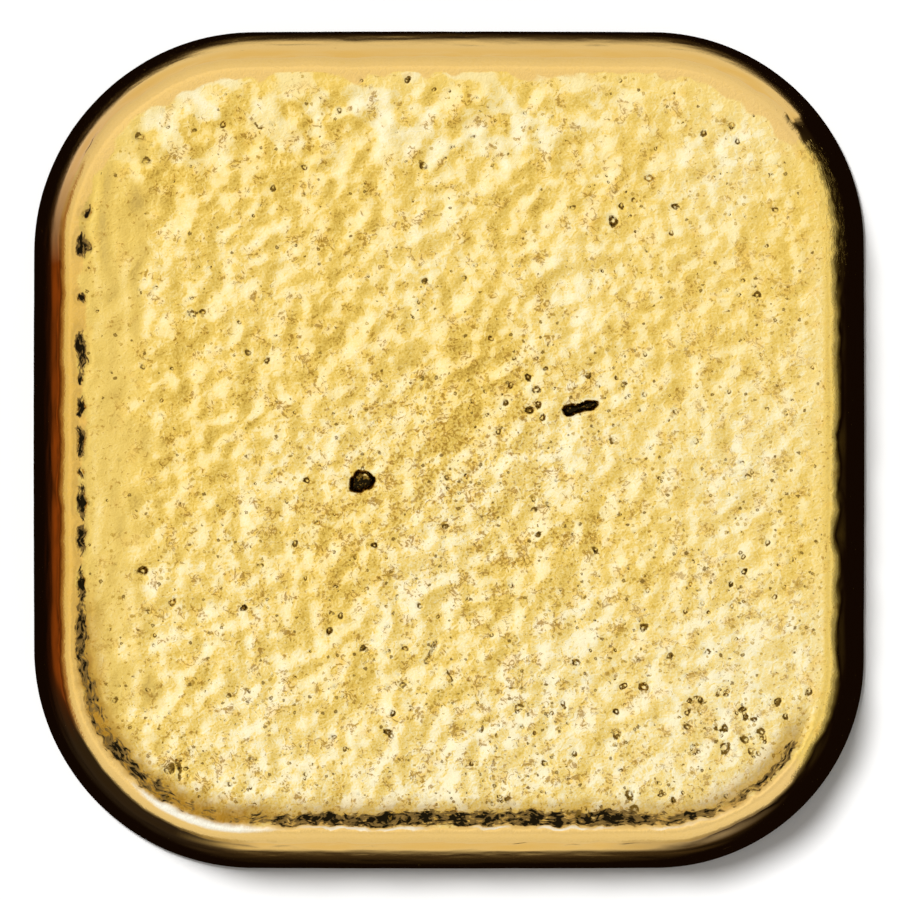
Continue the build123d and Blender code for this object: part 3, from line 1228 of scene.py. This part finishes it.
def card_material():
    """Cards that glow as their mesh says."""
    material, tree, shader = new_material("cards")
    glow = make(tree, "ShaderNodeAttribute", {}, attribute_name="glow")
    depth = make(tree, "ShaderNodeLightPath", {})["Diffuse Depth"]
    feed(tree, shader.inputs["Base Color"], (0, 0, 0, 1))
    feed(tree, shader.inputs["Specular IOR Level"], 0.0)
    feed(tree, shader.inputs["Emission Color"], glow["Color"])
    feed(tree, shader.inputs["Emission Strength"], reckon(tree, "LESS_THAN", depth, FIRST_BOUNCE))
    return material


def card_rings(bearing, east):
    """How far each ring of the cards lies from the outline, from under the foot outwards, and its glow."""
    degrees = [row[0] for row in CARDS]
    width, dim_start, full_start = [np.interp(bearing, degrees, [row[i] for row in CARDS]) for i in (1, 2, 4)]
    dim, full = [
        np.stack([np.interp(bearing, degrees, [row[column][i] for row in CARDS]) for i in range(3)], axis=1)
        for column in (3, 5)
    ]
    left, right = smooth(*LEFT_SPAN, east)[:, None], smooth(*RIGHT_SPAN, east)[:, None]
    horizon = np.array(HORIZON[:3]) * (1 - left - right)
    horizon = horizon + np.array(LEFT_HORIZON[:3]) * left + np.array(RIGHT_HORIZON[:3]) * right
    brightest = full.max(axis=1, keepdims=True)
    warm = full * (1 + RED_GAIN * smooth(*RED_FALL, brightest) * smooth(*RED_RISE, brightest))
    plain = full + (brightest - full) * smooth(*PALE_GLOW, brightest)
    black = np.broadcast_to(np.array(CARD_BLACK), dim.shape)
    return (
        (np.full(len(bearing), CARD_START), black),
        (width, black),
        (dim_start, dim),
        (full_start, full),
        (np.maximum(full_start + WARM_PAST_FULL, CARD_WARM), warm),
        (np.maximum(full_start + NEAR_PAST_FULL, CARD_NEAR), plain),
        (np.full(len(bearing), CARD_MIDDLE), horizon),
        (np.full(len(bearing), CARD_FAR), horizon),
    )


def build_cards():
    """The cards round the foot, which are seen in reflections alone."""
    points, normals = outline(WALL_STEP / 2)
    count = len(points)
    spots, glows, faces = [], [], []
    for number, (reach, glow) in enumerate(card_rings(bearings(points), normals[:, 0])):
        spots.append(points + reach[:, None] * normals)
        glows.append(glow)
        for i in range(count if number else 0):
            start, after = (number - 1) * count + i, (number - 1) * count + (i + 1) % count
            faces.append((start, start + count, after + count, after))
    spots = np.concatenate(spots)
    spots = np.concatenate((spots, np.full((len(spots), 1), CARD_HEIGHT)), axis=1) * MM
    cards = sheet("cards", spots.tolist(), faces, card_material())
    colours = np.concatenate((np.concatenate(glows), np.ones((len(spots), 1))), axis=1)
    glow = cards.data.attributes.new("glow", "FLOAT_COLOR", "POINT")
    glow.data.foreach_set("color", colours.astype(np.float32).ravel())
    cards.visible_camera = False
    cards.visible_diffuse = False
    cards.visible_shadow = False
    cards.visible_transmission = False


def mirrored_sky(tree):
    """The sky as the metal mirrors it, by the way that a ray goes."""
    spot = make(tree, "ShaderNodeTexCoord", {})["Generated"]
    way = make(tree, "ShaderNodeSeparateXYZ", {"Vector": spot})
    east, north, up = [Number(tree, way[axis]) for axis in ("X", "Y", "Z")]
    sky = up.band(*HORIZON_SPAN).blend(HORIZON, MIDDLE_SKY)
    sky = (east.band(*LEFT_SPAN) * up.band(LEFT_RISE, 0.0)).blend(sky, LEFT_HORIZON)
    sky = (east.band(*RIGHT_SPAN) * up.band(RIGHT_RISE, 0.0)).blend(sky, RIGHT_HORIZON)
    # A slope turns the ray that it mirrors by twice its own lean
    toward = east * math.cos(LIGHT_BEARING) + north * math.sin(LIGHT_BEARING)
    overhead = toward.band(2 * SHADED_SLOPE, 2 * LIT_SLOPE).blend(SHADED_SKY, LIT_SKY)
    return up.band(*OVERHEAD_SPAN).blend(sky, overhead)


def build_world():
    """A white world that the camera and the metal see brighter than it lights the floor."""
    world = bpy.data.worlds.new("studio")
    world.use_nodes = True
    tree = world.node_tree
    rays = make(tree, "ShaderNodeLightPath", {})
    glossy = reckon(tree, "MAXIMUM", rays["Is Glossy Ray"], rays["Is Transmission Ray"])
    glossy = glossy * reckon(tree, "LESS_THAN", rays["Diffuse Depth"], FIRST_BOUNCE)
    fill = reckon(tree, "GREATER_THAN", rays["Diffuse Depth"], FIRST_BOUNCE)
    level = Number(tree, rays["Is Camera Ray"]) * SEEN_LEVEL + fill * FILL_LEVEL + glossy
    background = tree.nodes["Background"]
    feed(tree, background.inputs["Color"], glossy.blend((1, 1, 1, 1), mirrored_sky(tree)))
    feed(tree, background.inputs["Strength"], level)
    bpy.context.scene.world = world


def build_stage():
    """The floor, the cards round the foot, the sun and the world."""
    build_floor()
    build_cards()
    sun = bpy.data.lights.new("sun", "SUN")
    sun.energy = SUN_LEVEL
    sun.angle = math.radians(SUN_ANGLE)
    lamp = bpy.data.objects.new("sun", sun)
    lamp.rotation_euler = (math.radians(SUN_TILT[0]), math.radians(SUN_TILT[1]), 0)
    lamp.visible_glossy = False
    bpy.context.scene.collection.objects.link(lamp)
    build_world()


def build_camera():
    """Straight down on the bar, framed as the photograph is."""
    camera = bpy.data.cameras.new("camera")
    camera.sensor_fit = "HORIZONTAL"
    field = PHOTO_PIXELS * pixel * MM
    widest = foot_radius * MM
    camera.lens = camera.sensor_width * (CAMERA_DISTANCE - widest) / field
    camera.clip_start = CAMERA_CLIP
    made = bpy.data.objects.new("camera", camera)
    aim = place(PHOTO_PIXELS / 2, PHOTO_PIXELS / 2) * MM
    made.location = (aim[0], aim[1], CAMERA_DISTANCE)
    bpy.context.scene.collection.objects.link(made)
    bpy.context.scene.camera = made


ingot = build_ingot()
ingot.data.materials.append(gold_material())
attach(ingot, "root")
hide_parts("ingot")
build_stage()
build_camera()
bpy.context.scene.view_settings.view_transform = "Standard"
